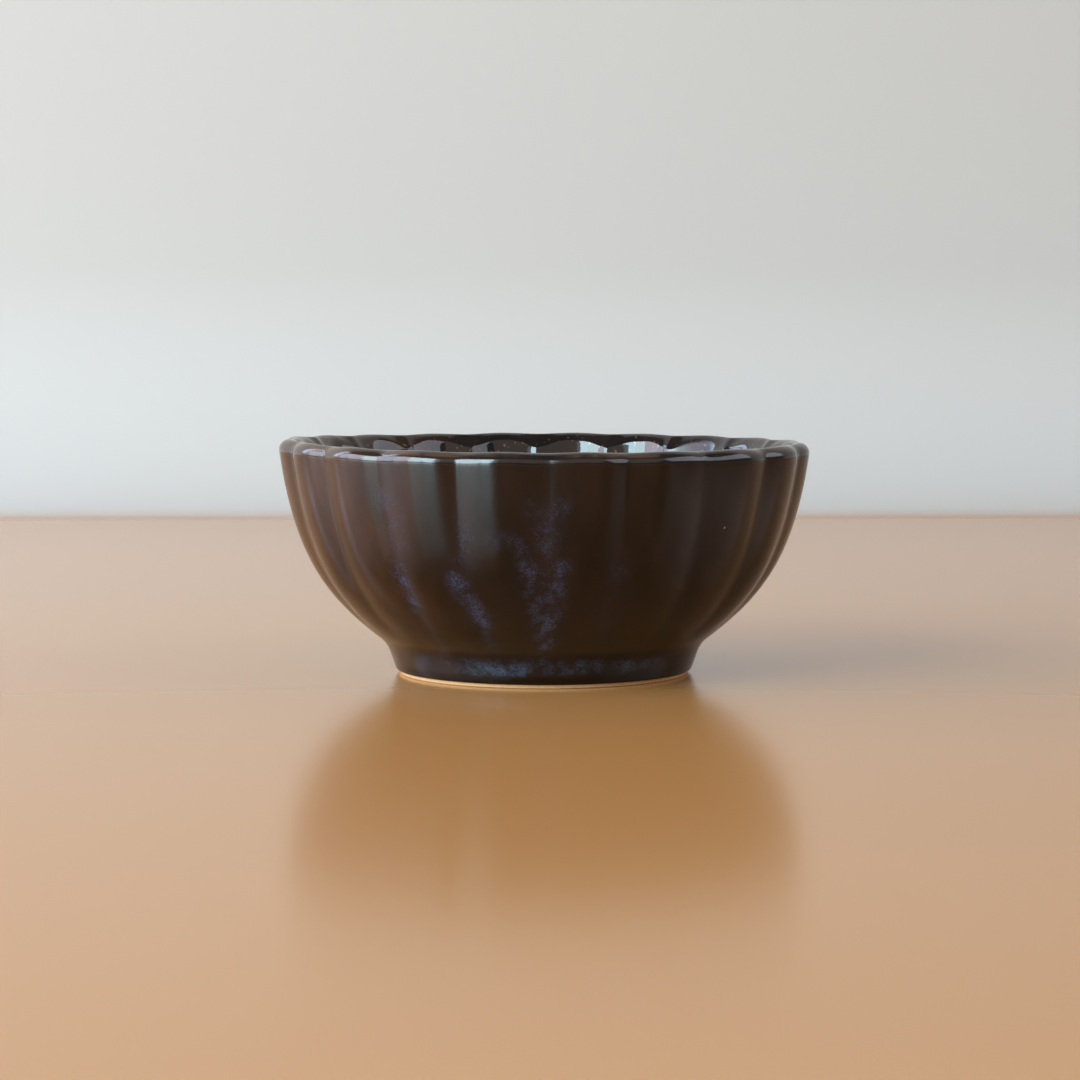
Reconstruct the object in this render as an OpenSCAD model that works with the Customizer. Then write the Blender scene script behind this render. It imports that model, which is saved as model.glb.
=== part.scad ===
// Soy sauce dish: a small pressed stoneware bowl with twenty flutes, a foot ring and its coats of glaze.
// Lengths are in millimetres. The dish stands on z = 0, and its axis is the z axis.

/* [Bowl] */
// Diameter over the crests of the flutes, where the lip is widest
rim_d = 89.8; // [76:0.2:130]
// Height from the table to the top of the lip
height = 39.3; // [32:0.1:60]
// Thickness of the rim over its glaze, which the lip rounds off
rim_wall = 3.9; // [2.8:0.1:5.5]
// Height of the lip's rounded edges, from where the wall ends to its top
lip_drop = 1.2; // [0.9:0.1:2.5]
// Height of the inside floor above the table, over its glaze
floor_top = 8; // [6.5:0.5:12]
// Lean of the outside under the lip, in degrees from upright
rim_lean = 8.2; // [0:0.2:25]
// Lean of the outside where the wall runs into the foot, in degrees from upright
belly_lean = 52.4; // [40:0.2:70]
// Lean of the inside under the lip, in degrees from upright
inside_lean = 12; // [0:1:25]

/* [Flutes] */
// Number of flutes round the wall
flutes = 20; // [12:1:32]
// Radius of the rounded face of one flute, seen from above
flute_r = 14; // [10:0.5:30]
// Height over which the flutes fade into the round foot
fade_h = 4; // [1:0.5:10]

/* [Foot] */
// Diameter of the glazed foot, taken down its slope to the table
foot_d = 49.5; // [40:0.1:60]
// Height of the foot ring, which is also the depth of the well inside it before glazing
foot_h = 4; // [3:0.1:5.5]
// Lean of the foot's outside, in degrees from upright
foot_lean = 21.8; // [0:0.1:35]
// Radius of the hollow where the foot runs into the wall
foot_fillet_r = 5.4; // [1:0.1:7]
// Width of the flat ring that the dish stands on
foot_land = 2.6; // [1.5:0.1:4.5]
// Bevel along both edges of the flat ring
foot_bevel = 0.3; // [0.1:0.05:0.6]
// Lean of the wall of the well inside the foot, in degrees from upright
well_lean = 18; // [0:1:35]

/* [Glaze] */
// Thickness of the coats on the wall, on the lip, inside and in the well
glaze_t = 0.35; // [0.2:0.05:0.6]
// Thickness of the roll where the glaze ran down the foot and stopped
pool_t = 0.45; // [0.3:0.05:1]
// Height of the bare edge of clay, wiped clean, under the glaze
bare_h = 0.7; // [0.4:0.05:1.2]

/* [Hidden] */
$fn = 120;

// Steps of the modelled surfaces, along the section and round one flute; the lip's are for each of its edges
wall_steps = 8;
fillet_steps = 2;
lip_steps = 3;
inside_steps = 8;
bead_steps = 6;
steps_per_flute = 5;

// How far the handles of the section's curves reach, as shares of what each curve spans
rim_handle_share = 0.496;
belly_handle_share = 0.335;
inside_handle_share = 0.8;
floor_handle_share = 0.72;
lip_squareness = 0.6;

// Where the lip is highest, as a share of the rim's thickness from its outer edge
lip_top_share = 0.45;

columns = flutes*steps_per_flute;
pitch = 360/flutes;
rim_r = rim_d/2;

// Directions in the section plane for a surface that leans: down along it, and square away from it
function down(lean) = [-sin(lean), -cos(lean)];
function away(lean) = [cos(lean), -sin(lean)];

// Ends of the outside: the lip, the top of the foot's hollow, and the top of the foot's slope
wall_top = [rim_r, height - lip_drop];
foot_top = [foot_d/2 + foot_h*tan(foot_lean), foot_h];
hollow_centre = foot_top + foot_fillet_r*away(foot_lean);
wall_end = hollow_centre - foot_fillet_r*away(belly_lean);
wall_span = norm(wall_top - wall_end);
wall_curve = [
    wall_top,
    wall_top + rim_handle_share*wall_span*down(rim_lean),
    wall_end - belly_handle_share*wall_span*down(belly_lean),
    wall_end
];

// Ends of the inside: the lip and the middle of the floor
inside_top = wall_top - [rim_wall, 0];
inside_curve = [
    inside_top,
    inside_top + inside_handle_share*(inside_top[1] - floor_top)/cos(inside_lean)*down(inside_lean),
    [floor_handle_share*inside_top[0], floor_top],
    [0, floor_top]
];

// The lip between them: one rounded edge up to its top, and one down to the inside
lip_top = [rim_r - lip_top_share*rim_wall, height];
lip_out_curve = [
    wall_top,
    wall_top - lip_squareness*lip_drop*down(rim_lean),
    lip_top + lip_squareness*[lip_top_share*rim_wall, 0],
    lip_top
];
lip_in_curve = [
    lip_top,
    lip_top - lip_squareness*[(1 - lip_top_share)*rim_wall, 0],
    inside_top - lip_squareness*lip_drop*down(inside_lean),
    inside_top
];

// Clay of the foot at a height: its outside under the glaze, and the wall of the well
function foot_clay_r(z) = foot_d/2 - glaze_t/cos(foot_lean) + z*tan(foot_lean);
land_inner_r = foot_clay_r(0) - foot_bevel - foot_land;
function well_r(z) = land_inner_r - foot_bevel - (z - foot_bevel)*tan(well_lean);

// Upper end of the foot's coat on the clay, and the middle of the roll at its lower end
foot_clay_top = foot_top - glaze_t*away(foot_lean);
bead_z = bare_h + pool_t*cos(foot_lean);
bead_centre = [foot_clay_r(bead_z), bead_z];

// Point and direction of a cubic curve at t, from 0 to 1
function cubic(p, t) =
    pow(1 - t, 3)*p[0] + 3*pow(1 - t, 2)*t*p[1] + 3*(1 - t)*t*t*p[2] + pow(t, 3)*p[3];
function cubic_dir(p, t) =
    let(v = pow(1 - t, 2)*(p[1] - p[0]) + 2*(1 - t)*t*(p[2] - p[1]) + t*t*(p[3] - p[2])) v/norm(v);
function smooth(u) = let(c = min(1, max(0, u))) c*c*(3 - 2*c);
function mix(a, b, u) = a + (b - a)*u;

// A sample is one place on the section through a flute's crest:
// its radius, its height, the radius of the flute's rounded face there, and how far it is fluted.
// Each path gives the samples of one face, laid the given depth under the glaze.
function wall_path(depth) = [
    for (i = [0:wall_steps])
        let(
            t = i/wall_steps,
            over = cubic(wall_curve, t),
            dir = cubic_dir(wall_curve, t),
            at = over + depth*[dir[1], -dir[0]]
        )
        [at[0], at[1], flute_r - depth, smooth((over[1] - wall_end[1])/fade_h)]
];

function hollow_path(depth) = [
    for (i = [1:fillet_steps])
        let(at = hollow_centre - (foot_fillet_r + depth)*away(mix(belly_lean, foot_lean, i/fillet_steps)))
        [at[0], at[1], flute_r - depth, 0]
];

function lip_path(depth) = [
    for (i = [0:2*lip_steps])
        let(
            curve = i < lip_steps ? lip_out_curve : lip_in_curve,
            t = (i < lip_steps ? i : i - lip_steps)/lip_steps,
            dir = cubic_dir(curve, t),
            at = cubic(curve, t) + depth*[-dir[1], dir[0]],
            inward = (1 - cos(90*i/lip_steps))/2
        )
        [at[0], at[1], mix(flute_r - depth, flute_r - rim_wall + depth, inward), 1]
];

function inside_path(depth) = [
    for (i = [0:inside_steps])
        let(
            t = i/inside_steps,
            dir = cubic_dir(inside_curve, t),
            at = cubic(inside_curve, t) + depth*[-dir[1], dir[0]]
        )
        [at[0], at[1], flute_r - rim_wall + depth, 1]
];

function outside_path(depth) = concat(wall_path(depth), hollow_path(depth));
function reversed(list) = [for (i = [len(list) - 1:-1:0]) list[i]];
function middle(list) = [for (i = [1:len(list) - 2]) list[i]];

// Radius of a fluted face at an angle off the crest: in plan each flute is an arc of its own radius,
// and a face nearer the axis than that radius is plainly round
function fluted_r(r, face_r, angle) =
    let(d = max(0, r - face_r)) d*cos(angle) + sqrt(pow(r - d, 2) - pow(d*sin(angle), 2));

function ring(s) = [
    for (j = [0:columns - 1])
        let(
            turn = 360*j/columns,
            angle = (j % steps_per_flute)*pitch/steps_per_flute - pitch/2,
            r = mix(s[0], fluted_r(s[0], s[2], angle), s[3])
        )
        [r*cos(turn), r*sin(turn), s[1]]
];

// Triangles between rings i and k, cut from the narrower ring's corner to the wider ring's next one,
// so that two solids that share a pair of rings share every triangle between them
function band(i, k, widening) = [
    for (j = [0:columns - 1])
        let(
            a = i*columns + j,
            b = i*columns + (j + 1) % columns,
            c = k*columns + j,
            d = k*columns + (j + 1) % columns
        )
        each (widening ? [[a, d, b], [a, c, d]] : [[a, c, b], [b, c, d]])
];

function bands(path, last) = [
    for (i = [0:last]) let(k = (i + 1) % len(path)) each band(i, k, path[k][0] > path[i][0])
];

function fan(i, tip, upward) = [
    for (j = [0:columns - 1])
        let(a = i*columns + j, b = i*columns + (j + 1) % columns) upward ? [a, tip, b] : [a, b, tip]
];

// Solid whose section is a closed loop of samples round the wall
module hoop(path) {
    polyhedron(points = [for (s = path) each ring(s)], faces = bands(path, len(path) - 1));
}

// Solid whose section starts and ends on the axis, at two tips
module vessel(path) {
    body = middle(path);
    tip = len(body)*columns;
    polyhedron(
        points = concat(
            [for (s = body) each ring(s)],
            [[0, 0, path[0][1]], [0, 0, path[len(path) - 1][1]]]
        ),
        faces = concat(bands(body, len(body) - 2), fan(0, tip, false), fan(len(body) - 1, tip + 1, true))
    );
}

// Pressed bowl of clay with its flat underside, where the foot ring is joined on
module clay_bowl() {
    color("tan") vessel(concat(
        [[0, foot_h], [foot_clay_r(foot_h), foot_h, flute_r, 0]],
        reversed(outside_path(glaze_t)),
        middle(lip_path(glaze_t)),
        inside_path(glaze_t)
    ));
}

// Ring of clay under the bowl, with a flat face to stand on
module foot_ring() {
    color("burlywood") rotate_extrude() polygon([
        [foot_clay_r(0) - foot_bevel, 0],
        [foot_clay_r(foot_bevel), foot_bevel],
        [foot_clay_r(foot_h), foot_h],
        [well_r(foot_h), foot_h],
        [well_r(foot_bevel), foot_bevel],
        [land_inner_r, 0]
    ]);
}

// Satin coat over the flutes, down to the top of the foot
module outer_glaze() {
    color("#33231b") hoop(concat(outside_path(0), reversed(outside_path(glaze_t))));
}

// Coat that rounds the lip, between the outside and the inside
module lip_glaze() {
    color("#5a3826") hoop(concat(reversed(lip_path(0)), lip_path(glaze_t)));
}

// Glossy coat inside, over the scooped flutes and the floor
module inner_glaze() {
    color("#1c1614") vessel(concat(reversed(inside_path(glaze_t)), inside_path(0)));
}

// Coat that ran down the foot and stopped in a thick roll above the bare edge
module foot_glaze() {
    bead = [
        for (i = [0:bead_steps])
            let(turn = 90*i/bead_steps)
            bead_centre + pool_t*(cos(turn)*away(foot_lean) + sin(turn)*down(foot_lean))
    ];
    color("#1d2430") rotate_extrude() polygon(concat([foot_clay_top, foot_top], bead));
}

// Coat in the well inside the foot ring
module well_glaze() {
    slope_t = glaze_t/cos(well_lean);
    color("#2b1f19") rotate_extrude() polygon([
        [well_r(bare_h), bare_h],
        [well_r(foot_h), foot_h],
        [0, foot_h],
        [0, foot_h - glaze_t],
        [well_r(foot_h - glaze_t) - slope_t, foot_h - glaze_t],
        [well_r(bare_h) - slope_t, bare_h]
    ]);
}

clay_bowl();
foot_ring();
outer_glaze();
lip_glaze();
inner_glaze();
foot_glaze();
well_glaze();
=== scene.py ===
"""Soy sauce dish: a small fluted bowl of pressed stoneware under an iron glaze.

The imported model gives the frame, and every shape here is a surface of two parameters, worked out as whole
arrays: one parameter runs along the dish's section, and the other turns round its axis.
"""

import logging
import math
from collections.abc import Callable
from dataclasses import dataclass, field
from enum import Enum
from functools import partial

import bpy
import numpy as np
from bpy.types import Material, Mesh, Node, NodeSocket, NodeTree, Object
from mathutils import Matrix, Vector


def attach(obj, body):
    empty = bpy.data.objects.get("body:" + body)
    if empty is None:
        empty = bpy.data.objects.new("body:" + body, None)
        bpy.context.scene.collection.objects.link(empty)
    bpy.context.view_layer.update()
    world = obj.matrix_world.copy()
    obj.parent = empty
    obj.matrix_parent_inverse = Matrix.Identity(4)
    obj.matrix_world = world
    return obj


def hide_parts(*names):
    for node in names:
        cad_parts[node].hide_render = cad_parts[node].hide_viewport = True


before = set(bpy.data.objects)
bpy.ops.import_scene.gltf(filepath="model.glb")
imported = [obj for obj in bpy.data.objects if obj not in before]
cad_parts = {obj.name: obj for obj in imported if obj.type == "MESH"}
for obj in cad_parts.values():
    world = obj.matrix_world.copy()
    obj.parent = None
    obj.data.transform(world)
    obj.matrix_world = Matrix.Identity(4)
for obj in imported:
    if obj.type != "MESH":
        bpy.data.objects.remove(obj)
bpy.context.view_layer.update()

Array = np.ndarray
Adder = Callable[..., Node]
Place = tuple[float, float, float]
Span = tuple[float, ...]
Sockets = tuple[NodeSocket, ...]
MM = 0.001
# A length this small, in metres, counts as nothing.
NIL = 1e-9
BODY = "root"
LOG = logging.getLogger("soy_sauce_dish")


class Stretch(Enum):
    """Stretches of the glazed section, in order from the foot to the middle of the floor."""

    ROLL = "roll"
    SLOPE = "slope"
    HOLLOW = "hollow"
    WALL = "wall"
    LIP = "lip"
    INSIDE = "inside"


def away(lean: Array | float) -> Array:
    """Gives the direction out of the dish, square to a face that leans in degrees: (cos lean, -sin lean)."""
    turn = np.radians(lean)
    return np.stack([np.cos(turn), -np.sin(turn)], axis=-1)


def down(lean: Array | float) -> Array:
    """Gives the direction down along a face that leans in degrees: (-sin lean, -cos lean)."""
    turn = np.radians(lean)
    return np.stack([-np.sin(turn), -np.cos(turn)], axis=-1)


def mix(a: Array | float, b: Array | float, share: Array | float) -> Array | float:
    """Gives the value that lies the given share of the way from a to b."""
    return a + (b - a) * share


def turned(radius: Array, height: Array, turn: Array) -> Array:
    """Gives the points (r cos t, r sin t, z) at each radius, height and turn."""
    points = np.broadcast_arrays(radius * np.cos(turn), radius * np.sin(turn), height)
    return np.stack(points, axis=-1)


def smooth(share: Array | float) -> Array:
    """Eases a share from 0 to 1 by 3 s^2 - 2 s^3, and holds it at both ends."""
    held = np.clip(share, 0.0, 1.0)
    return held * held * (3.0 - 2.0 * held)


def cubic(handles: Array, t: Array) -> Array:
    """Gives points of a cubic curve.

    Args:
        handles: Its four handles a, b, c, d, as rows of radius and height.
        t: Places on the curve, from 0 to 1.

    Returns:
        (1-t)^3 a + 3 (1-t)^2 t b + 3 (1-t) t^2 c + t^3 d for each t.
    """
    s = 1.0 - t
    weights = np.stack([s**3, 3 * s * s * t, 3 * s * t * t, t**3], axis=-1)
    return weights @ np.asarray(handles)


@dataclass(frozen=True)
class Wave:
    """A slow wave round the dish, size * sin(count * turn + phase)."""

    count: int
    size: float
    phase: float

    def at(self, turn: Array) -> Array:
        """Gives how far the wave reaches at each turn."""
        return self.size * np.sin(self.count * turn + self.phase)


@dataclass(frozen=True)
class Section:
    """Samples of the glazed section through the crest of a flute, and what each one means."""

    points: Array
    face_radius: Array
    fluting: Array
    inward: Array
    rows: dict[Stretch, slice]

    def between(self, first: Stretch, last: Stretch) -> slice:
        """Gives the rows of the stretches from first to last, with the row that the next one starts at."""
        stop = min(self.rows[last].stop + 1, len(self.points))
        return slice(self.rows[first].start, stop)


@dataclass(frozen=True)
class DishForm:
    """Sizes of the dish, in metres and degrees, and the surfaces that they give."""

    rim_radius: float = 44.9 * MM
    height: float = 39.3 * MM
    rim_wall: float = 3.9 * MM
    lip_drop: float = 2.0 * MM
    lip_top_share: float = 0.45
    lip_squareness: float = 0.56
    floor_top: float = 8.0 * MM
    rim_lean: float = 8.2
    belly_lean: float = 52.4
    inside_lean: float = 12.0
    flutes: int = 20
    flute_radius: float = 14.0 * MM
    fade_height: float = 4.0 * MM
    foot_radius: float = 24.75 * MM
    foot_height: float = 4.0 * MM
    foot_lean: float = 21.8
    foot_fillet: float = 5.4 * MM
    foot_land: float = 2.6 * MM
    foot_bevel: float = 0.3 * MM
    well_lean: float = 18.0
    well_corner: float = 0.9 * MM
    coat: float = 0.35 * MM
    roll: float = 0.45 * MM
    bare_height: float = 0.7 * MM
    rim_handle_share: float = 0.496
    belly_handle_share: float = 0.335
    inside_handle_share: float = 0.8
    floor_handle_share: float = 0.72
    groove_softness: float = 0.55 * MM
    ridge_softness: float = 0.35 * MM
    rim_dip: float = 0.19 * MM
    rim_dip_reach: float = 7.0 * MM
    ridge_sag: float = 1.1 * MM
    ridge_sag_reach: float = 5.0 * MM
    ridge_sag_start: float = 0.43
    rim_lift: float = 0.1 * MM
    rim_waves: tuple[Wave, ...] = (
        Wave(1, 0.26 * MM, -math.pi / 2),
        Wave(2, 0.182 * MM, math.pi / 2),
        Wave(3, 0.08 * MM, -math.pi / 2 - 0.43),
        Wave(4, 0.064 * MM, math.pi / 2 + 0.25),
    )
    wall_waves: tuple[Wave, ...] = (
        Wave(2, 0.06 * MM, 0.7),
        Wave(3, 0.048 * MM, 2.1),
        Wave(7, 0.03 * MM, 4.0),
    )
    groove_waves: tuple[Wave, ...] = (Wave(5, 0.004, 0.8), Wave(9, 0.003, 2.0))
    groove_shift: float = 0.009
    front_shift: float = 0.01
    columns_per_flute: int = 24
    # Rows of each stretch, in order from the foot.
    steps: tuple[int, ...] = (10, 10, 14, 84, 44, 90)

    @property
    def columns(self) -> int:
        """Columns of vertices round the dish."""
        return self.flutes * self.columns_per_flute

    @property
    def pitch(self) -> float:
        """Angle from one groove to the next, in radians."""
        return 2.0 * math.pi / self.flutes

    @property
    def turns(self) -> Array:
        """Angle of each column, in radians, from a groove at +X."""
        return np.arange(self.columns) * (2.0 * math.pi / self.columns)

    def foot_clay(self, height: Array | float) -> Array | float:
        """Radius of the foot's clay at a height: the glazed slope less the coat, measured level."""
        slope = math.tan(math.radians(self.foot_lean))
        return self.foot_radius - self.coat / math.cos(math.radians(self.foot_lean)) + height * slope

    def well_clay(self, height: Array | float) -> Array | float:
        """Radius of the well's clay wall at a height."""
        start = self.foot_clay(0.0) - 2 * self.foot_bevel - self.foot_land
        return start - (height - self.foot_bevel) * math.tan(math.radians(self.well_lean))

    def section(self) -> Section:
        """Samples the glazed section: roll, foot slope, hollow, wall, lip and inside.

        Returns:
            The samples, with the flute's face radius, how far the face is fluted, and how far inward it is.
        """
        n = dict(zip(Stretch, self.steps))
        foot_slope = math.tan(math.radians(self.foot_lean))
        foot_top = np.array([self.foot_radius + self.foot_height * foot_slope, self.foot_height])
        hollow_centre = foot_top + self.foot_fillet * away(self.foot_lean)
        wall_top = np.array([self.rim_radius, self.height - self.lip_drop])
        lip_top = np.array([self.rim_radius - self.lip_top_share * self.rim_wall, self.height])
        wall_end = hollow_centre - self.foot_fillet * away(self.belly_lean)
        inside_top = wall_top - np.array([self.rim_wall, 0.0])

        roll_height = self.bare_height + self.roll * math.cos(math.radians(self.foot_lean))
        roll_centre = np.array([self.foot_clay(roll_height), roll_height])
        quarter = np.linspace(np.pi / 2, 0.0, n[Stretch.ROLL], endpoint=False)[:, None]
        roll = roll_centre + self.roll * (
            np.cos(quarter) * away(self.foot_lean) + np.sin(quarter) * down(self.foot_lean)
        )

        share = np.linspace(0.0, 1.0, n[Stretch.SLOPE], endpoint=False)
        clay_top = foot_top - self.coat * away(self.foot_lean)
        clay = mix(roll_centre, clay_top, share[:, None])
        slope = clay + mix(self.roll, self.coat, smooth(share))[:, None] * away(self.foot_lean)

        lean = np.linspace(self.foot_lean, self.belly_lean, n[Stretch.HOLLOW], endpoint=False)
        hollow = hollow_centre - self.foot_fillet * away(lean)

        span = np.linalg.norm(wall_top - wall_end)
        wall_handles = [
            wall_end,
            wall_end - self.belly_handle_share * span * down(self.belly_lean),
            wall_top + self.rim_handle_share * span * down(self.rim_lean),
            wall_top,
        ]
        wall = cubic(wall_handles, np.linspace(0.0, 1.0, n[Stretch.WALL], endpoint=False))

        lip = []
        sides = ((wall_top, self.rim_lean, 0.0, 1.0), (inside_top, self.inside_lean, 1.0, 0.0))
        for edge, lean, start, stop in sides:
            reach = self.lip_squareness * (edge - lip_top)
            handles = [edge, edge + reach[1] * down(lean), lip_top + reach * [1.0, 0.0], lip_top]
            lip.append(cubic(handles, np.linspace(start, stop, n[Stretch.LIP] // 2, endpoint=False)))
        lip = np.concatenate(lip)

        drop = (inside_top[1] - self.floor_top) / math.cos(math.radians(self.inside_lean))
        inside_handles = [
            inside_top,
            inside_top + self.inside_handle_share * drop * down(self.inside_lean),
            [self.floor_handle_share * inside_top[0], self.floor_top],
            [0.0, self.floor_top],
        ]
        inside = cubic(inside_handles, np.linspace(0.0, 1.0, n[Stretch.INSIDE]))

        parts = (roll, slope, hollow, wall, lip, inside)
        stops = np.cumsum([len(part) for part in parts])
        rows = {key: slice(stop - len(part), stop) for key, part, stop in zip(Stretch, parts, stops)}
        points = np.concatenate(parts)
        inward = np.zeros(len(points))
        inward[rows[Stretch.LIP]] = smooth((self.rim_radius - lip[:, 0]) / self.rim_wall)
        inward[rows[Stretch.INSIDE]] = 1.0
        fluting = smooth((points[:, 1] - wall_end[1]) / self.fade_height)
        fluting[rows[Stretch.INSIDE]] = 1.0
        return Section(points, self.flute_radius - self.rim_wall * inward, fluting, inward, rows)

    def surface(self, section: Section) -> Array:
        """Turns the section round the axis and presses the flutes into it.

        In plan each flute is an arc of its face radius f, whose middle lies d = r - f from the axis, so at an
        angle u off the crest its radius is d cos u + sqrt((r-d)^2 - (d sin u)^2). Two neighbouring arcs a and
        b meet in the groove as (a + b + sqrt((a-b)^2 + k^2)) / 2, where k is how soft the glaze makes it.

        Args:
            section: Samples of the glazed section.

        Returns:
            Points in metres, one row for each sample and one column for each turn.
        """
        r = section.points[:, 0:1]
        z = section.points[:, 1:2]
        inward = section.inward[:, None]
        raised = smooth((z - self.foot_height) / (self.height - self.foot_height))
        turn = self.turns[None, :]
        # The grooves aren't quite evenly spaced: they lie up to 1.6 degrees aside at the front.
        front = -np.sin(turn)
        aside = self.groove_shift * (1.0 + front) + self.front_shift * np.maximum(front, 0.0) ** 2
        swing = sum(wave.at(turn) for wave in self.groove_waves)
        off = (turn + swing * raised + aside) % self.pitch - self.pitch / 2

        d = np.maximum(r - section.face_radius[:, None], 0.0)
        a = d * np.cos(off) + np.sqrt((r - d) ** 2 - (d * np.sin(off)) ** 2)
        beyond = self.pitch - np.abs(off)
        b = d * np.cos(beyond) + np.sqrt(np.maximum((r - d) ** 2 - (d * np.sin(beyond)) ** 2, 0.0))
        softness = mix(self.groove_softness, self.ridge_softness, inward) * smooth(d / self.flute_radius)
        fluted = (a + b + np.sqrt((a - b) ** 2 + softness**2)) / 2
        fluted = fluted - fluted.max(axis=1, keepdims=True) + r

        # Whatever the hand did to the wall and the rim fades away towards the axis and the foot.
        moved = raised * smooth(r / self.foot_radius)
        radius = mix(r, fluted, section.fluting[:, None]) + moved * sum(w.at(turn) for w in self.wall_waves)
        warp = moved * (self.rim_lift + sum(wave.at(turn) for wave in self.rim_waves))

        groove = (1.0 - np.cos(2 * np.pi * off / self.pitch)) / 2
        near_rim = smooth((z - self.height + self.rim_dip_reach) / self.rim_dip_reach)
        dip = self.rim_dip * near_rim * groove
        # Inside, the lip rolls over lower down on each ridge than between them, so the wall's top is arched.
        over = smooth((inward - self.ridge_sag_start) / (1.0 - self.ridge_sag_start))
        low = smooth((self.height - self.lip_drop - z) / self.ridge_sag_reach)
        sag = self.ridge_sag * over * (1.0 - low) * groove**2
        return turned(radius, z + warp - dip - sag, turn)


def surface_normals(surface: Array) -> Array:
    """Gives the outward normal at each point of a surface that closes round the axis.

    The normal is the cross product of the step round the axis and the step along the section. On the axis
    there is no step round it, and the normal is upright there, facing the way the nearest row does.

    Args:
        surface: Points, rows along the section and columns round the axis.

    Returns:
        Unit normals in the same layout.
    """
    along = np.linalg.norm(np.diff(surface[:, 0], axis=0), axis=1)
    travel = np.concatenate([[0.0], np.cumsum(along)])
    up = np.gradient(surface, travel, axis=0)
    around = np.roll(surface, -1, axis=1) - np.roll(surface, 1, axis=1)
    normal = np.cross(around, up)
    length = np.linalg.norm(normal, axis=-1, keepdims=True)
    unit = normal / np.maximum(length, NIL)
    for pole, beside in ((0, 1), (-1, -2)):
        if length[pole].max() < NIL:
            unit[pole] = (0.0, 0.0, np.sign(unit[beside, :, 2].mean()))
    return unit


@dataclass
class Shell:
    """A closed piece between a front face and a back face, both turned round the axis.

    Rows run along the section and columns round the axis. A face that starts or ends on the axis does so in
    one point, and the two faces are joined by a narrow rim wherever they stop away from the axis.
    """

    name: str
    front: Array
    back: Array
    front_normals: Array | None = None
    attributes: dict[str, Array] = field(default_factory=dict)

    @staticmethod
    def on_axis(row: Array) -> bool:
        """Tells whether a row of points has shrunk to a point on the axis."""
        return bool(np.hypot(row[:, 0], row[:, 1]).max() < NIL)

    def quads(self) -> tuple[Array, Array]:
        """Lists the corners of every face, front rows first and the back's rows after them in reverse.

        Returns:
            Four corners for each face, in order, and whether each face is on the narrow rim.
        """
        n, k = len(self.front), len(self.back)
        first = np.concatenate([np.arange(n - 1), np.arange(n, n + k - 1)])
        second = first + 1
        rim = np.zeros(len(first), dtype=bool)
        for end, start, stop in ((0, n + k - 1, 0), (-1, n - 1, n)):
            if not self.on_axis(self.front[end]):
                first, second, rim = np.append(first, start), np.append(second, stop), np.append(rim, True)
        columns = self.front.shape[1]
        here = np.arange(columns)
        beyond = (here + 1) % columns
        rows = np.stack([first, first, second, second], axis=-1)[:, None] * columns
        corners = rows + np.stack([here, beyond, beyond, here], axis=-1)
        return corners.reshape(-1, 4), np.repeat(rim, columns)

    def build(self, material: Material) -> Object:
        """Makes the mesh object, with its normals, attributes and material.

        Args:
            material: The piece's finish.

        Returns:
            The object, linked into the scene.
        """
        points = np.concatenate([self.front, self.back[::-1]]).reshape(-1, 3)
        quads, rim = self.quads()
        # The points of a row on the axis become one, and the faces round it become triangles.
        columns = self.front.shape[1]
        number = np.arange(len(points))
        centred = np.hypot(points[:, 0], points[:, 1]) < NIL
        number[centred] = number[centred] // columns * columns
        kept, compact = np.unique(number[quads], return_inverse=True)
        quads = compact.reshape(-1, 4)
        distinct = quads != np.roll(quads, 1, axis=1)
        totals = distinct.sum(axis=1)
        corners = quads[distinct]

        mesh = bpy.data.meshes.new(self.name)
        mesh.vertices.add(len(kept))
        mesh.vertices.foreach_set("co", points[kept].reshape(-1).astype(np.float32))
        mesh.loops.add(len(corners))
        mesh.loops.foreach_set("vertex_index", corners.astype(np.int32))
        mesh.polygons.add(len(totals))
        mesh.polygons.foreach_set("loop_start", (np.cumsum(totals) - totals).astype(np.int32))
        mesh.polygons.foreach_set("loop_total", totals.astype(np.int32))
        mesh.polygons.foreach_set("use_smooth", np.ones(len(totals), dtype=bool))
        mesh.update(calc_edges=True)
        for name, values in self.attributes.items():
            behind = np.broadcast_to(values[-1:], self.back.shape[:2])
            whole = np.concatenate([values, behind]).reshape(-1)
            layer = mesh.attributes.new(name, "FLOAT", "POINT")
            layer.data.foreach_set("value", whole[kept].astype(np.float32))
        self.shade(mesh, kept[corners], np.repeat(rim, totals), totals)

        mesh.materials.append(material)
        piece = bpy.data.objects.new(self.name, mesh)
        bpy.context.scene.collection.objects.link(piece)
        return piece

    def shade(self, mesh: Mesh, corners: Array, on_rim: Array, totals: Array) -> None:
        """Shades both faces by their surfaces' own normals, and the narrow rim flat.

        Args:
            mesh: The piece's mesh.
            corners: Number of the surface point at each corner of each face.
            on_rim: Whether each corner is on the narrow rim.
            totals: How many corners each face has.
        """
        fronts = surface_normals(self.front) if self.front_normals is None else self.front_normals
        normals = np.concatenate([fronts, -surface_normals(self.back)[::-1]]).reshape(-1, 3)
        flat = np.empty(len(totals) * 3, dtype=np.float32)
        mesh.polygons.foreach_get("normal", flat)
        shading = normals[corners]
        shading[on_rim] = np.repeat(flat.reshape(-1, 3), totals, axis=0)[on_rim]
        mesh.normals_split_custom_set(shading.tolist())


def linear(code: str) -> tuple[float, float, float, float]:
    """Turns an sRGB hex colour into the linear colour that the nodes take.

    Args:
        code: The colour, such as "#33231b".

    Returns:
        Linear red, green and blue, with an alpha of 1.
    """
    parts = [int(code[i : i + 2], 16) / 255 for i in (1, 3, 5)]
    light = [c / 12.92 if c <= 0.04045 else ((c + 0.055) / 1.055) ** 2.4 for c in parts]
    return (light[0], light[1], light[2], 1.0)


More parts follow.
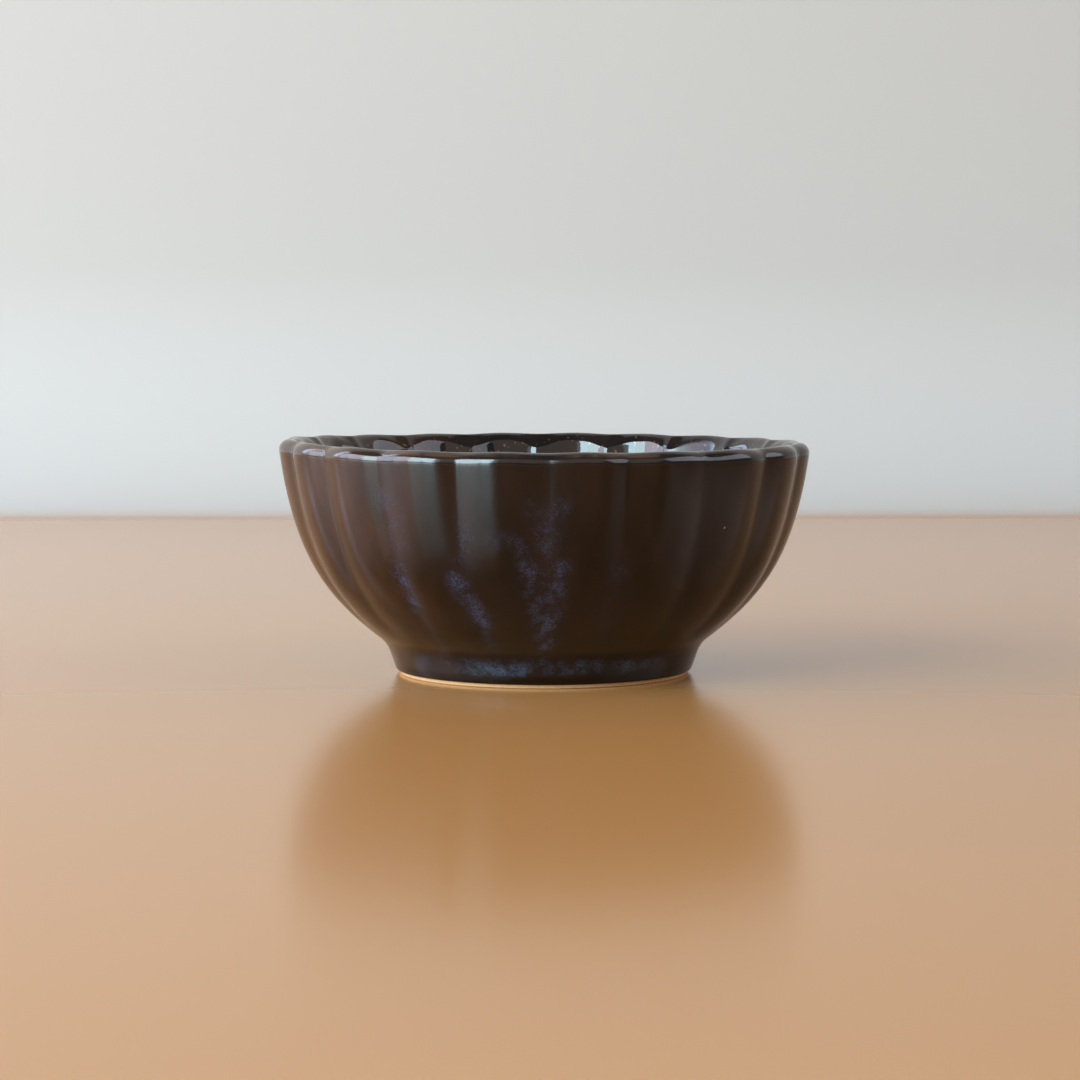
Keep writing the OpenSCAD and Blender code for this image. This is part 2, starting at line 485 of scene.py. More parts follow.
def add_node(tree: NodeTree, kind: str, settings: dict | None = None, inputs: dict | tuple = ()) -> Node:
    """Adds a node with its settings and links.

    Args:
        tree: The node tree to add to.
        kind: The kind of shader node.
        settings: The node's own properties, by name.
        inputs: Its inputs in their order, or by name or number: a socket is linked, and anything else is set
            as the value.

    Returns:
        The new node.
    """
    node = tree.nodes.new(f"ShaderNode{kind}")
    for name, value in (settings or {}).items():
        setattr(node, name, value)
    for name, value in inputs.items() if isinstance(inputs, dict) else enumerate(inputs):
        if isinstance(value, NodeSocket):
            tree.links.new(value, node.inputs[name])
        else:
            node.inputs[name].default_value = value
    return node


def blank_material(name: str) -> tuple[Material, Adder]:
    """Makes a material with an empty node tree, and gives it with what adds nodes to that tree."""
    material = bpy.data.materials.new(name)
    material.use_nodes = True
    material.node_tree.nodes.clear()
    return material, partial(add_node, material.node_tree)


# Settings that several nodes share. The inputs of a Map Range are its value and then a span.
EASED = {"interpolation_type": "SMOOTHSTEP"}
TIMES = {"operation": "MULTIPLY"}
REACH = {"operation": "DISTANCE"}
LAID = {"data_type": "RGBA"}
# Places of a Mix's inputs, when it mixes colours, and of its output.
SHARE, UNDER, OVER, LAYERED = 0, 6, 7, 2


@dataclass(frozen=True)
class GlazeRun:
    """A streak of blue crystals, where the glaze ran or pooled as it melted.

    Its places are pairs of degrees from the dish's front, towards +X, and height in millimetres.
    """

    places: tuple[tuple[float, float], ...]
    strength: float
    width: float = 1.5

    def amount(self, surface: Array) -> Array:
        """Gives how thick the crystals lie, from the distance d to the line through the places.

        Between two places a and b the nearest point is the share t = (p-a).(b-a) / |b-a|^2 along, held from
        0 to 1. Lengths are taken on the wall unrolled, as radius times turn, and height.

        Args:
            surface: Points of the dish, in metres.

        Returns:
            strength * exp(-(d / width)^2) at each point.
        """
        radius = np.hypot(surface[..., 0], surface[..., 1]) / MM
        height = surface[..., 2] / MM
        turn = np.arctan2(surface[..., 0], -surface[..., 1])
        nearest = np.full(height.shape, np.inf)
        for (turn_a, height_a), (turn_b, height_b) in zip(self.places, self.places[1:]):
            off = (turn - math.radians(turn_a) + np.pi) % (2 * np.pi) - np.pi
            aside, above = radius * off, height - height_a
            reach_aside, reach_above = radius * math.radians(turn_b - turn_a), height_b - height_a
            share = (aside * reach_aside + above * reach_above) / (reach_aside**2 + reach_above**2 + NIL)
            share = np.clip(share, 0.0, 1.0)
            gap = (aside - share * reach_aside) ** 2 + (above - share * reach_above) ** 2
            nearest = np.minimum(nearest, gap)
        return self.strength * np.exp(-nearest / self.width**2)


@dataclass(frozen=True)
class Crystals:
    """All the blue crystals: streaks that close in a V on each groove, and clumps round the foot.

    Heights, widths and distances are in millimetres. On groove n behind, the swings (a, b, c) give the V's
    reach and height, its strength and the clump's, each as a + b sin(c n). A side of the V bends at a share
    of its reach and height, and the two sides share out the strength.
    """

    front: tuple[GlazeRun, ...] = (
        GlazeRun(((-13.0, 25.2), (-9.3, 25.9), (-6.6, 24.8), (-5.2, 20.7)), 0.4, 1.3),
        GlazeRun(((-5.2, 20.7), (-4.2, 17.9), (-3.2, 14.0), (-1.1, 8.2)), 0.75),
        GlazeRun(((2.6, 21.2), (1.8, 17.9), (0.9, 12.8), (-1.1, 8.2)), 0.7, 1.3),
        GlazeRun(((-1.6, 18.0), (-1.2, 12.0), (-1.1, 6.5)), 0.25, 2.8),
        GlazeRun(((-3.9, 30.8), (-2.1, 27.1), (-0.8, 24.4)), 0.35),
        GlazeRun(((2.3, 31.4), (0.3, 27.1), (-0.8, 24.4)), 0.4),
        GlazeRun(((-18.4, 28.1), (-18.7, 23.3), (-21.9, 18.8)), 0.45),
        GlazeRun(((-21.9, 18.8), (-21.2, 16.7), (-19.6, 14.3), (-17.9, 12.1)), 1.05),
        GlazeRun(((-17.9, 12.1), (-18.7, 7.3)), 0.4, 1.4),
        GlazeRun(((-38.2, 31.8), (-34.2, 29.4), (-35.6, 22.9), (-37.0, 18.4)), 0.45, 1.7),
        GlazeRun(((-37.0, 18.4), (-36.9, 16.7), (-36.2, 13.9)), 0.85, 1.3),
        GlazeRun(((-36.2, 13.9), (-36.5, 9.8), (-38.0, 6.2)), 0.35, 1.4),
        GlazeRun(((16.0, 20.5), (15.0, 15.1), (15.6, 9.8)), 0.3, 2.2),
        GlazeRun(((31.4, 33.1), (32.4, 22.3), (34.5, 13.3), (34.3, 9.8)), 0.22, 2.0),
    )
    foot: tuple[GlazeRun, ...] = (
        GlazeRun(((-52.0, 3.9), (-29.0, 4.0)), 0.12, 1.0),
        GlazeRun(((-26.3, 2.9), (-17.4, 3.0), (-9.5, 3.0)), 0.9, 1.1),
        GlazeRun(((9.0, 3.7), (11.5, 3.8)), 0.5, 1.2),
        GlazeRun(((17.0, 4.3), (19.0, 4.3)), 0.25, 1.0),
        GlazeRun(((26.8, 3.3), (29.0, 3.4)), 0.45, 1.1),
        GlazeRun(((31.0, 4.0), (44.0, 3.6)), 0.4, 1.1),
    )
    depth: float = 0.7
    grooves_behind: tuple[int, int] = (5, 16)
    groove_pitch: float = 18.0
    swings: tuple[Span, ...] = ((4.0, 1.2, 1.7), (21.0, 3.5, 2.9), (0.45, 0.35, 1.3), (0.4, 0.3, 2.3))
    v_height: float = 8.2
    v_bend: tuple[float, float] = (0.7, 0.8)
    v_strength: float = 0.9
    clump_places: tuple[tuple[float, float], ...] = ((-5.0, 3.2), (4.0, 3.4))
    clump_width: float = 1.1
    film: float = 0.4
    film_heights: tuple[float, float] = (2.0, 6.0)
    film_fades: tuple[float, float] = (0.9, 2.4)
    film_middle: float = 13.0
    film_side_fade: float = 5.0
    film_side_loss: float = 0.6

    def behind(self) -> list[GlazeRun]:
        """Lists the streaks on the grooves behind, a V and a clump at the foot for each groove."""
        runs = []
        for number in range(*self.grooves_behind):
            reach, top, strength, clump = (a + b * math.sin(c * number) for a, b, c in self.swings)
            middle = number * self.groove_pitch
            for side, share in ((-reach, strength), (reach, self.v_strength - strength)):
                bend = (middle + self.v_bend[0] * side, self.v_bend[1] * top)
                runs.append(GlazeRun(((middle + side, top), bend, (middle, self.v_height)), share))
            places = tuple((middle + aside, height) for aside, height in self.clump_places)
            runs.append(GlazeRun(places, clump, self.clump_width))
        return runs

    def amount(self, surface: Array) -> Array:
        """Gives how thick the crystals lie, with a film round the foot that thins at the dish's sides."""
        aside, height = np.abs(surface[..., 0]) / MM, surface[..., 2] / MM
        (bottom, top), (rise, fall) = self.film_heights, self.film_fades
        film = self.film * smooth((height - bottom) / rise) * smooth((top - height) / fall)
        film = film * (1.0 - self.film_side_loss * smooth((aside - self.film_middle) / self.film_side_fade))
        runs = (*self.front, *self.foot, *self.behind())
        return self.depth * (film + sum(run.amount(surface) for run in runs))


@dataclass(frozen=True)
class IronGlaze:
    """Iron glaze, dipped and fired: almost black where thick, brown where thin, blue where it ran.

    It is satin outside, where the second dip floats as a dry skin, and glossy over the lip and inside. A span
    holds the two ends of what is read, and what they give if that isn't 0 and 1. The methods take what adds
    a node, the place on the dish, its height, how far inward it is (0 on the wall, 1 inside), and the colour.
    """

    name: str = "iron_glaze"
    marked: bool = True
    ior: float = 1.45
    glossy_ior: float = 1.58
    full_shine: float = 0.5
    thick: str = "#090606"
    thin: str = "#1a0f0d"
    # Painted light: a warm brown laid on the dish's left, the window's side.
    lit_side_tone: str = "#442815"
    edge: str = "#4f382b"
    fleck: str = "#5f4028"
    # Painted shade over a real pool: near black at the foot's roll, for the thick glaze and the shaded floor
    # it reflects.
    pool_and_shade_tone: str = "#040202"
    haze: str = "#28293a"
    foot_haze: str = "#28323d"
    speck: str = "#354158"
    pinhole_tone: str = "#b9a48c"

    mottle_size: float = 6.0 * MM
    mottle_draw: Place = (1.0, 1.0, 0.35)
    mottling: Span = (0.32, 0.7)
    # Where the painted light lies: X from -10 mm to -38 mm, up to 0.8, in patches of the mottle.
    lit_side_reach: Span = (-10.0 * MM, -38.0 * MM, 0.0, 0.8)
    lit_side_patches: Span = (0.0, 1.0, 0.45, 1.0)

    # Real crystals are about a tenth of a millimetre, less than a pixel shows, so they are drawn coarser.
    crystal_size: float = 0.42 * MM
    cloud_size: float = 1.8 * MM
    clouding: Span = (0.38, 0.62, 0.3, 1.15)
    fraying: Span = (0.35, 0.6, 0.7, 1.0)
    foot_reach: Span = (8.0 * MM, 5.0 * MM)
    crystal_growth: float = 0.3
    speckling: Span = (-0.55, 0.05)
    # Heights of the painted shade at the roll: full below 1.6 mm, gone by 2.3 mm.
    pool_and_shade_heights: Span = (1.6 * MM, 2.3 * MM, 1.0, 0.0)

    pinholes: tuple[Place, ...] = ((0.0278, -0.0319, 0.0268), (-0.0147, -0.0306, 0.0132))
    pinhole_reach: Span = (0.16 * MM, 0.4 * MM, 0.85, 0.0)
    edge_patches: Span = (0.4, 0.65)
    edge_start: Span = (0.0, 0.04)
    edge_stop: Span = (0.06, 0.22, 0.8, 0.0)
    fleck_size: float = 0.6 * MM
    fleck_share: Span = (0.72, 0.78)
    fleck_inward: Span = (0.8, 1.0)
    fleck_height: Span = (33.5 * MM, 35.5 * MM)

    satin_roughness: float = 0.19
    lip_roughness: float = 0.14
    gloss_roughness: float = 0.06
    lip_heights: tuple[float, float] = (35.4 * MM, 37.4 * MM)
    gloss_inward: tuple[float, float] = (0.1, 0.7)
    dull_place: Place = (0.0283, 0.0297, 0.0366)
    dull_reach: Span = (5.0 * MM, 3.0 * MM)
    dull_roughness: float = 0.24
    dull_shine: float = 0.25
    peel_size: float = 1.3 * MM
    peel_depth: float = 0.014 * MM

    def base(self, add: Adder, place: NodeSocket) -> NodeSocket:
        """Mottles the glaze from thick to thin, and paints the window's light as warm brown patches on the
        dish's left.

        The mottle is drawn out down the wall, as the glaze ran.
        """
        run = add("VectorMath", TIMES, (place, self.mottle_draw)).outputs[0]
        mottles = {"Vector": run, "Scale": 1 / self.mottle_size, "Detail": 3.0}
        mottle = add("TexNoise", None, mottles).outputs["Fac"]
        mottle = add("MapRange", EASED, (mottle, *self.mottling)).outputs[0]
        colours = {SHARE: mottle, UNDER: linear(self.thick), OVER: linear(self.thin)}
        colour = add("Mix", LAID, colours).outputs[LAYERED]
        if not self.marked:
            return colour
        # Painted light: brown patches make the dish's left, where the window's light falls, warmer and
        # lighter.
        side = add("SeparateXYZ", None, (place,)).outputs["X"]
        side = add("MapRange", EASED, (side, *self.lit_side_reach)).outputs[0]
        patches = add("MapRange", None, (mottle, *self.lit_side_patches)).outputs[0]
        side = add("Math", TIMES, (side, patches)).outputs[0]
        return add("Mix", LAID, {SHARE: side, UNDER: colour, OVER: linear(self.lit_side_tone)}).outputs[LAYERED]

    def crystals(self, add: Adder, place: NodeSocket, height: NodeSocket, colour: NodeSocket) -> NodeSocket:
        """Lays a cloudy blue haze and its brighter specks over the glaze, as thick as the crystals lie."""
        cloud, grain = (
            add("TexNoise", None, {"Vector": place, "Scale": 1 / size, "Detail": detail}).outputs["Fac"]
            for size, detail in ((self.cloud_size, 3.0), (self.crystal_size, 2.0))
        )
        clouds = add("MapRange", EASED, (cloud, *self.clouding)).outputs[0]
        frays = add("MapRange", EASED, (grain, *self.fraying)).outputs[0]
        amount = add("Attribute", {"attribute_name": "crystals"}).outputs["Fac"]
        share = add("Math", TIMES, (amount, clouds)).outputs[0]
        share = add("Math", TIMES | {"use_clamp": True}, (share, frays)).outputs[0]
        low = add("MapRange", EASED, (height, *self.foot_reach)).outputs[0]
        hazes = {SHARE: low, UNDER: linear(self.haze), OVER: linear(self.foot_haze)}
        haze = add("Mix", LAID, hazes).outputs[LAYERED]
        colour = add("Mix", LAID, {SHARE: share, UNDER: colour, OVER: haze}).outputs[LAYERED]
        # Each cell has a crystal in its middle, and they show larger where the crystals lie thick.
        cells = add("TexVoronoi", None, {"Vector": place, "Scale": 1 / self.crystal_size}).outputs["Distance"]
        rich = add("Math", TIMES, (share, self.crystal_growth)).outputs[0]
        peak = add("Math", {"operation": "SUBTRACT"}, (rich, cells)).outputs[0]
        spot = add("MapRange", EASED, (peak, *self.speckling)).outputs[0]
        spot = add("Math", TIMES, (spot, share)).outputs[0]
        return add("Mix", LAID, {SHARE: spot, UNDER: colour, OVER: linear(self.speck)}).outputs[LAYERED]

    def faults(self, add: Adder, place: NodeSocket, colour: NodeSocket) -> NodeSocket:
        """Lays the pale pinholes over the colour, each a soft spot about 0.3 mm in radius."""
        tone = linear(self.pinhole_tone)
        for pinhole in self.pinholes:
            off = add("VectorMath", REACH, (place, pinhole)).outputs["Value"]
            hole = add("MapRange", EASED, (off, *self.pinhole_reach)).outputs[0]
            colour = add("Mix", LAID, {SHARE: hole, UNDER: colour, OVER: tone}).outputs[LAYERED]
        return colour

    def thin_edge(self, add: Adder, place: NodeSocket, inward: NodeSocket, colour: NodeSocket) -> NodeSocket:
        """Lets the iron show red-brown on the lip's outer corner, and in a few specks on its inner edge."""
        patches, spots = (
            add("TexNoise", None, {"Vector": place, "Scale": 1 / size, "Detail": detail}).outputs["Fac"]
            for size, detail in ((self.mottle_size, 4.0), (self.fleck_size, 0.0))
        )
        height = add("SeparateXYZ", None, (place,)).outputs["Z"]
        corner = ((inward, self.edge_start), (inward, self.edge_stop), (patches, self.edge_patches))
        flecks = ((spots, self.fleck_share), (inward, self.fleck_inward), (height, self.fleck_height))
        for readings, tone in ((corner, self.edge), (flecks, self.fleck)):
            share = 1.0
            for reading, span in readings:
                part = add("MapRange", EASED, (reading, *span)).outputs[0]
                share = add("Math", TIMES, (share, part)).outputs[0]
            colour = add("Mix", LAID, {SHARE: share, UNDER: colour, OVER: linear(tone)}).outputs[LAYERED]
        return colour

    def sheen(self, add: Adder, place: NodeSocket, height: NodeSocket, inward: NodeSocket) -> Sockets:
        """Gives how rough and how shiny the glaze is: satin on the wall, smoother to the lip, glossy inside.

        One patch inside, 8 mm across, came out of the kiln dull.
        """
        wall = (height, *self.lip_heights, self.satin_roughness, self.lip_roughness)
        rough = add("MapRange", EASED, wall).outputs[0]
        over = (inward, *self.gloss_inward, rough, self.gloss_roughness)
        rough = add("MapRange", EASED, over).outputs[0]
        off = add("VectorMath", REACH, (place, self.dull_place)).outputs["Value"]
        dull = add("MapRange", EASED, (off, *self.dull_reach)).outputs[0]
        rough, shine = (
            add("MapRange", None, (dull, 0.0, 1.0, clear, clouded)).outputs[0]
            for clear, clouded in ((rough, self.dull_roughness), (self.full_shine, self.dull_shine))
        )
        return rough, shine

    def build(self) -> Material:
        """Builds the finish: mottled brown, blue crystals, thin edges, and a skin like orange peel."""
        material, add = blank_material(self.name)
        place = add("TexCoord").outputs["Object"]
        height = add("SeparateXYZ", None, (place,)).outputs["Z"]
        inward = add("Attribute", {"attribute_name": "inward"}).outputs["Fac"]
        colour = self.base(add, place)
        if self.marked:
            colour = self.crystals(add, place, height, colour)
            # Painted shade over a real pool: the glaze turns near black below about 2 mm, for the thick roll
            # and the dark shadow under the foot that it reflects.
            pool_and_shade_share = add("MapRange", EASED, (height, *self.pool_and_shade_heights)).outputs[0]
            under = {SHARE: pool_and_shade_share, UNDER: colour, OVER: linear(self.pool_and_shade_tone)}
            colour = add("Mix", LAID, under).outputs[LAYERED]
            colour = self.thin_edge(add, place, inward, self.faults(add, place, colour))
        rough, shine = self.sheen(add, place, height, inward)
        dimples = {"Vector": place, "Scale": 1 / self.peel_size, "Detail": 1.0}
        peel = add("TexNoise", None, dimples).outputs["Fac"]
        bump = add("Bump", None, {"Height": peel, "Strength": 1.0, "Distance": self.peel_depth}).outputs[0]
        finish = {"Base Color": colour, "Roughness": rough, "Normal": bump, "IOR": self.ior}
        finish["Specular IOR Level"] = shine
        add("OutputMaterial", None, (add("BsdfPrincipled", None, finish).outputs[0],))
        return material


@dataclass(frozen=True)
class BareClay:
    """Unglazed fired stoneware: a tan body with fine grit, dry and matt."""

    name: str = "bare_stoneware"
    body: str = "#d3b084"
    toasted: str = "#b98b58"
    grain_size: float = 0.5 * MM
    grain_depth: float = 0.05 * MM
    roughness: float = 0.85

    def build(self) -> Material:
        """Builds the finish: toasted patches, grit and a dry surface."""
        material, add = blank_material(self.name)
        place = add("TexCoord").outputs["Object"]
        grains = {"Vector": place, "Scale": 1 / self.grain_size, "Detail": 6.0}
        grain = add("TexNoise", None, grains).outputs["Fac"]
        colours = {SHARE: grain, UNDER: linear(self.toasted), OVER: linear(self.body)}
        colour = add("Mix", LAID, colours).outputs[LAYERED]
        bump = add("Bump", None, {"Height": grain, "Strength": 0.3, "Distance": self.grain_depth}).outputs[0]
        finish = {"Base Color": colour, "Roughness": self.roughness, "Normal": bump}
        add("OutputMaterial", None, (add("BsdfPrincipled", None, finish).outputs[0],))
        return material


@dataclass
class Dish:
    """The whole dish: the pressed clay, its foot ring and the coats of glaze."""

    form: DishForm = field(default_factory=DishForm)
    crystals: Crystals = field(default_factory=Crystals)
    back_spacing: int = 4
    back_steps: int = 8
    underside_steps: int = 6
    ring_steps: int = 8
    bevel_steps: int = 7
    ceiling_steps: int = 12
    corner_steps: int = 9
    outside_limit: float = 0.01

    def __post_init__(self) -> None:
        """Works out the glazed surface that every coat is a part of."""
        self.section = self.form.section()
        self.surface = self.form.surface(self.section)
        self.normals = surface_normals(self.surface)
        self.under = self.surface - self.form.coat * self.normals

    def thinned(self, rows: slice) -> Array:
        """Gives the row numbers of a slice, every few rows, with both ends kept."""
        numbers = np.arange(rows.start, rows.stop)
        return np.unique(np.append(numbers[:: self.back_spacing], numbers[-1]))

    def attributes(self, rows: slice) -> dict[str, Array]:
        """Gives what the finishes read: how far inward a point is, and how thick the crystals lie there."""
        surface = self.surface[rows]
        inward = np.repeat(self.section.inward[rows][:, None], surface.shape[1], axis=1)
        outside = inward < self.outside_limit
        return {"inward": inward, "crystals": self.crystals.amount(surface) * outside}

    def coat(self, name: str, node: str, rows: slice, finish: Material) -> Object:
        """Builds one coat of even thickness as a closed shell and puts it in the node's place.

        Args:
            name: The piece's name.
            node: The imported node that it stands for.
            rows: Its rows of the glazed surface.
            finish: Its glaze.

        Returns:
            The piece, riding on the dish's body.
        """
        back = self.under[self.thinned(rows)]
        shell = Shell(name, self.surface[rows], back, self.normals[rows], self.attributes(rows))
        return seated(shell.build(finish), node)

    def foot_coat(self, finish: Material) -> Object:
        """Builds the coat that ran down the foot, with its back on the clay."""
        rows = self.section.between(Stretch.ROLL, Stretch.SLOPE)
        front = self.surface[rows]
        top = self.under[rows.stop - 1]
        share = np.linspace(0.0, 1.0, self.back_steps)[:, None]
        height = mix(front[0, None, :, 2], top[None, :, 2], share)
        back = turned(self.form.foot_clay(height), height, self.form.turns)
        shell = Shell("foot_coat", front, back, self.normals[rows], self.attributes(rows))
        return seated(shell.build(finish), "foot_glaze")

    def bowl(self, finish: Material) -> Object:
        """Builds the pressed clay: all that lies under the coats, closed by a flat underside."""
        rows = self.section.between(Stretch.HOLLOW, Stretch.INSIDE)
        numbers = self.thinned(rows)
        edge = self.form.foot_clay(self.form.foot_height)
        radius = np.linspace(edge, 0.0, self.underside_steps)
        radius[0] = np.hypot(*self.under[rows.start, 0, :2])
        underside = self.revolve(radius, np.full_like(radius, self.form.foot_height))
        shell = Shell("pressed_bowl", self.under[numbers], underside, self.normals[numbers])
        return seated(shell.build(finish), "clay_bowl")

    def revolve(self, radius: Array, height: Array) -> Array:
        """Turns a plain profile round the axis."""
        return turned(radius[:, None], height[:, None], self.form.turns)

    def ring(self, finish: Material) -> Object:
        """Builds the clay foot ring, with both edges of the face it stands on worn round."""
        form = self.form
        bevel, top = form.foot_bevel, form.foot_height
        land_inner = form.foot_clay(0.0) - bevel - form.foot_land
        turn = np.linspace(0.0, np.pi / 2, self.bevel_steps)
        worn, lift = bevel * np.sin(turn), bevel * (1 - np.cos(turn))
        slope = np.linspace(bevel, top, self.ring_steps)[1:]
        height = np.append(lift, slope)
        front = self.revolve(np.append(form.foot_clay(bevel) - bevel + worn, form.foot_clay(slope)), height)
        back = self.revolve(np.append(land_inner - worn, form.well_clay(slope)), height)
        return seated(Shell("foot_ring_clay", front, back).build(finish), "foot_ring")

    def well_coat(self, finish: Material) -> Object:
        """Builds the coat in the well: a flat ceiling, a rounded corner and the well's wall."""
        form = self.form
        ceiling, corner = form.foot_height - form.coat, form.well_corner
        lean = math.radians(form.well_lean)
        wall = form.well_clay(form.bare_height) - form.coat / math.cos(lean)
        meet = form.well_clay(ceiling) - form.coat / math.cos(lean)
        reach = corner * math.tan((math.pi / 2 - lean) / 2)
        turn = np.linspace(0.0, math.pi / 2 - lean, self.corner_steps)
        middle = meet - reach
        flat = np.linspace(0.0, middle, self.ceiling_steps)[:-1]
        radius = np.concatenate([flat, middle + corner * np.sin(turn), [wall]])
        bend = ceiling - corner * (1 - np.cos(turn))
        height = np.concatenate([np.full_like(flat, ceiling), bend, [form.bare_height]])
        level = np.array([form.foot_height] * 3 + [form.bare_height])
        back = self.revolve(form.well_clay(level) * [0.0, 0.5, 1.0, 1.0], level)
        return seated(Shell("well_coat", self.revolve(radius, height), back).build(finish), "well_glaze")

    def build(self) -> list[Object]:
        """Builds every piece of the dish."""
        section = self.section
        clay = BareClay().build()
        satin = IronGlaze("satin_iron_glaze")
        lip = IronGlaze("lip_iron_glaze", ior=satin.glossy_ior)
        gloss = IronGlaze("gloss_iron_glaze", ior=satin.glossy_ior)
        coats = [
            ("satin_coat", "outer_glaze", Stretch.HOLLOW, Stretch.WALL, satin),
            ("lip_coat", "lip_glaze", Stretch.LIP, Stretch.LIP, lip),
            ("gloss_coat", "inner_glaze", Stretch.INSIDE, Stretch.INSIDE, gloss),
        ]
        pieces = [self.bowl(clay), self.ring(clay)]
        for name, node, first, last, finish in coats:
            pieces.append(self.coat(name, node, section.between(first, last), finish.build()))
        # The foot's coat carries the painted shade at its roll.
        pieces.append(self.foot_coat(IronGlaze("pool_and_shade_iron_glaze").build()))
        pieces.append(self.well_coat(IronGlaze("well_iron_glaze", marked=False).build()))
        return pieces


def seated(piece: Object, node: str) -> Object:
    """Lets a finished piece ride on the dish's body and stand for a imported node, and gives it back."""
    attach(piece, BODY)
    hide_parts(node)
    LOG.info("%s stands for %s, %d faces", piece.name, node, len(piece.data.polygons))
    return piece


@dataclass(frozen=True)
class Window:
    """One pane of soft daylight, given by where it stands as seen from the dish.

    The azimuth is turned from straight in front of the dish, towards +X, and the elevation is over the table.
    """

    name: str
    azimuth: float
    elevation: float
    width: float
    height: float
    radiance: float
    tint: str = "#eef7ff"
    distance: float = 1.5

    def hang(self) -> None:
        """Hangs the pane as an area light that faces the dish; a radiance of 1 looks white."""
        light = bpy.data.lights.new(self.name, "AREA")
        light.shape = "RECTANGLE"
        light.size = 2 * self.distance * math.tan(math.radians(self.width / 2))
        light.size_y = 2 * self.distance * math.tan(math.radians(self.height / 2))
        light.energy = self.radiance * math.pi * light.size * light.size_y
        light.color = linear(self.tint)[:3]
        turn, rise = math.radians(self.azimuth), math.radians(self.elevation)
        outward = Vector((math.sin(turn) * math.cos(rise), -math.cos(turn) * math.cos(rise), math.sin(rise)))
        holder = bpy.data.objects.new(self.name, light)
        holder.location = outward * self.distance
        holder.rotation_euler = (-outward).to_track_quat("-Z", "Y").to_euler()
        holder.visible_camera = False
        bpy.context.scene.collection.objects.link(holder)


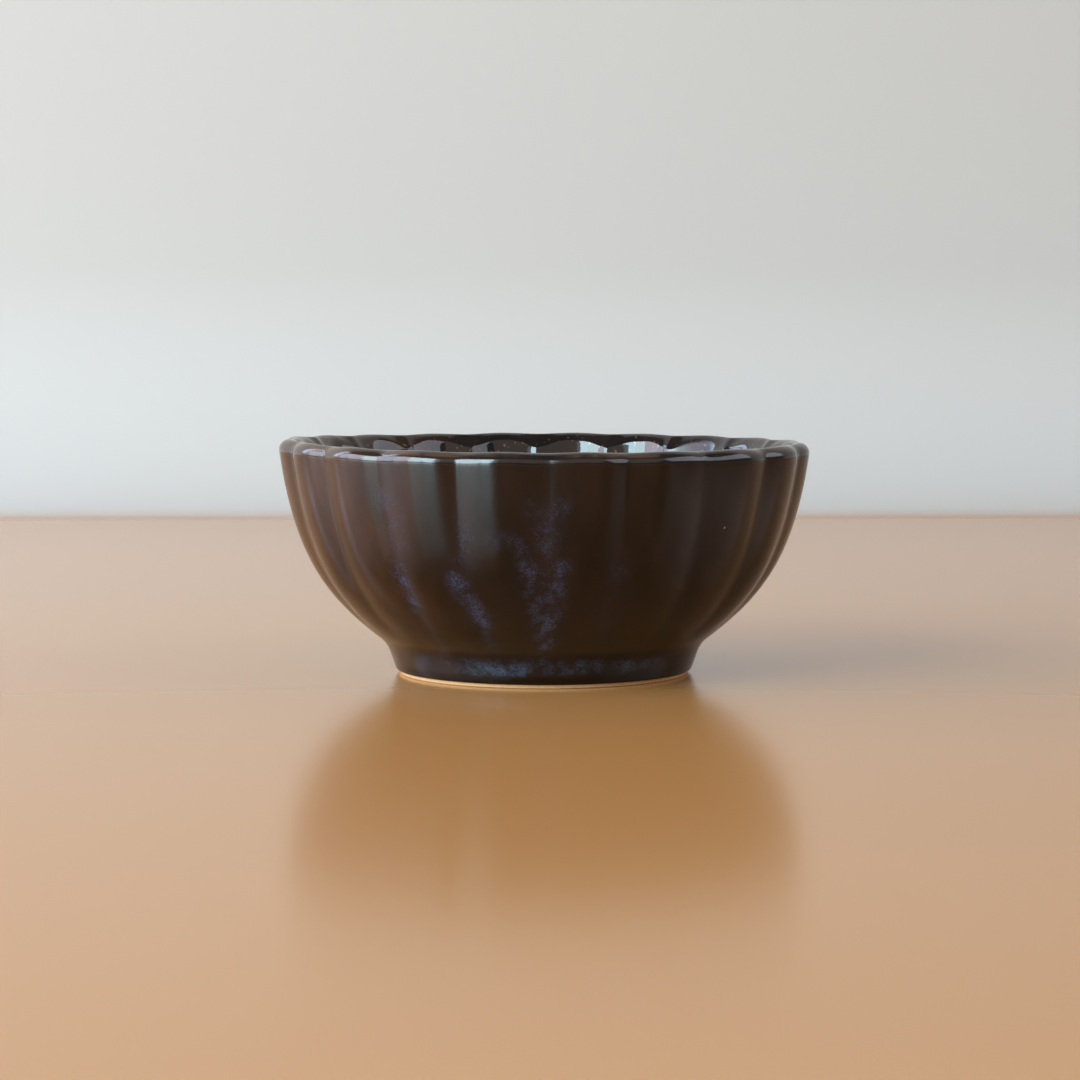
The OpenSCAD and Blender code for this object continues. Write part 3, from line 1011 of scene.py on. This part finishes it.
@dataclass
class Studio:
    """A plain pale floor with a backdrop, soft daylight from the left, and the camera."""

    focal_px: float = 2824.0
    frame_px: float = 1080.0
    horizon_px: float = 334.0
    axis_px: float = 543.9
    distance: float = 0.48
    camera_height: float = 0.0575
    azimuth: float = -1.47
    sensor: float = 36.0
    nearest: float = 0.05
    floor_front: float = -2.0
    floor_back: float = 0.41
    blend: tuple[float, float] = (0.39, 0.43)
    cove: float = 0.08
    sheet_half: float = 1.6
    sheet_top: float = 1.5
    sheet_steps: int = 24
    floor_tone: str = "#b27c48"
    wall_tone: str = "#b7b1aa"
    floor_roughness: float = 0.18
    wall_roughness: float = 0.8
    room_tone: str = "#f4f1ec"
    room_strength: float = 0.2
    windows: tuple[Window, ...] = (
        Window("pane_first", -37.0, 22.0, 13.0, 38.0, 14.0, "#d2f2ff"),
        Window("pane_second", -54.5, 22.0, 19.0, 38.0, 12.5, "#dcf6ff"),
        Window("pane_third", -77.0, 22.0, 22.0, 38.0, 6.8, "#f4f0ff"),
        Window("pane_fourth", -96.5, 21.0, 15.0, 34.0, 6.0, "#dceaff"),
        Window("pane_fifth", -115.0, 28.0, 9.0, 36.0, 6.5, "#bcd6ff", 0.9),
        Window("curtain", -122.0, 18.0, 34.0, 32.0, 3.0, "#ece9f2"),
        Window("reveal", -27.0, 22.0, 7.0, 26.0, 1.6, "#eef6ff"),
        Window("room_front", 8.0, 32.0, 56.0, 38.0, 0.55, "#ffe9da"),
        Window("wall_right", 80.0, 30.5, 56.0, 31.0, 2.1, "#eef1ff"),
        Window("door_right", 128.0, 13.0, 28.0, 26.0, 4.0, "#fff2e6"),
    )

    def camera(self) -> None:
        """Places the camera so that the horizon and the dish's axis fall on their places in the frame."""
        data = bpy.data.cameras.new("camera")
        data.sensor_width = self.sensor
        data.lens = self.focal_px / self.frame_px * self.sensor
        data.clip_start = self.nearest
        middle = self.frame_px / 2
        pitch = math.atan((middle - self.horizon_px) / self.focal_px)
        aside = math.atan((self.axis_px - middle) / self.focal_px)
        turn = math.radians(self.azimuth)
        camera = bpy.data.objects.new("camera", data)
        place = (self.distance * math.sin(turn), -self.distance * math.cos(turn), self.camera_height)
        camera.location = place
        heading = Matrix.Rotation(turn + aside, 4, "Z")
        tilt = Matrix.Rotation(math.pi / 2 - pitch, 4, "X")
        camera.rotation_euler = (heading @ tilt).to_euler()
        bpy.context.scene.collection.objects.link(camera)
        bpy.context.scene.camera = camera

    def sweep(self) -> None:
        """Builds the floor and the backdrop as one sheet: flat, then a quarter turn, then upright."""
        back, cove, half = self.floor_back, self.cove, self.sheet_half
        turn = np.linspace(0.0, np.pi / 2, self.sheet_steps)
        y = np.concatenate([[self.floor_front], back + cove * np.sin(turn), [back + cove]])
        z = np.concatenate([[0.0], cove * (1 - np.cos(turn)), [self.sheet_top]])
        verts = np.stack([np.tile([-half, half], len(y)), np.repeat(y, 2), np.repeat(z, 2)], axis=-1)
        i = 2 * np.arange(len(y) - 1)
        faces = np.stack([i, i + 1, i + 3, i + 2], axis=-1)
        mesh = bpy.data.meshes.new("sweep")
        mesh.from_pydata(verts.tolist(), [], faces.tolist())
        mesh.polygons.foreach_set("use_smooth", np.ones(len(faces), dtype=bool))
        sheet = bpy.data.objects.new("sweep", mesh)
        bpy.context.scene.collection.objects.link(sheet)
        mesh.materials.append(self.board())

    def board(self) -> Material:
        """Builds the sheet's finish: satin paint, pale tan on the floor and pale grey behind."""
        material, add = blank_material("satin_paint")
        place = add("TexCoord").outputs["Object"]
        depth = add("SeparateXYZ", None, (place,)).outputs["Y"]
        share = add("MapRange", EASED, (depth, *self.blend)).outputs[0]
        colours = {SHARE: share, UNDER: linear(self.floor_tone), OVER: linear(self.wall_tone)}
        colour = add("Mix", LAID, colours).outputs[LAYERED]
        over = (share, 0.0, 1.0, self.floor_roughness, self.wall_roughness)
        rough = add("MapRange", None, over).outputs[0]
        finish = {"Base Color": colour, "Roughness": rough}
        add("OutputMaterial", None, (add("BsdfPrincipled", None, finish).outputs[0],))
        return material

    def build(self) -> None:
        """Sets the camera, the sweep, the room's own light and the windows."""
        self.camera()
        self.sweep()
        world = bpy.data.worlds.new("room")
        world.use_nodes = True
        background = world.node_tree.nodes["Background"]
        background.inputs["Color"].default_value = linear(self.room_tone)
        background.inputs["Strength"].default_value = self.room_strength
        bpy.context.scene.world = world
        bpy.context.scene.view_settings.view_transform = "Standard"
        for window in self.windows:
            window.hang()


def main() -> None:
    """Builds the studio and the dish."""
    logging.basicConfig(level=logging.INFO, format="%(name)s: %(message)s")
    Studio().build()
    for piece in Dish().build():
        LOG.info("built %s", piece.name)


if __name__ == "__main__":
    main()
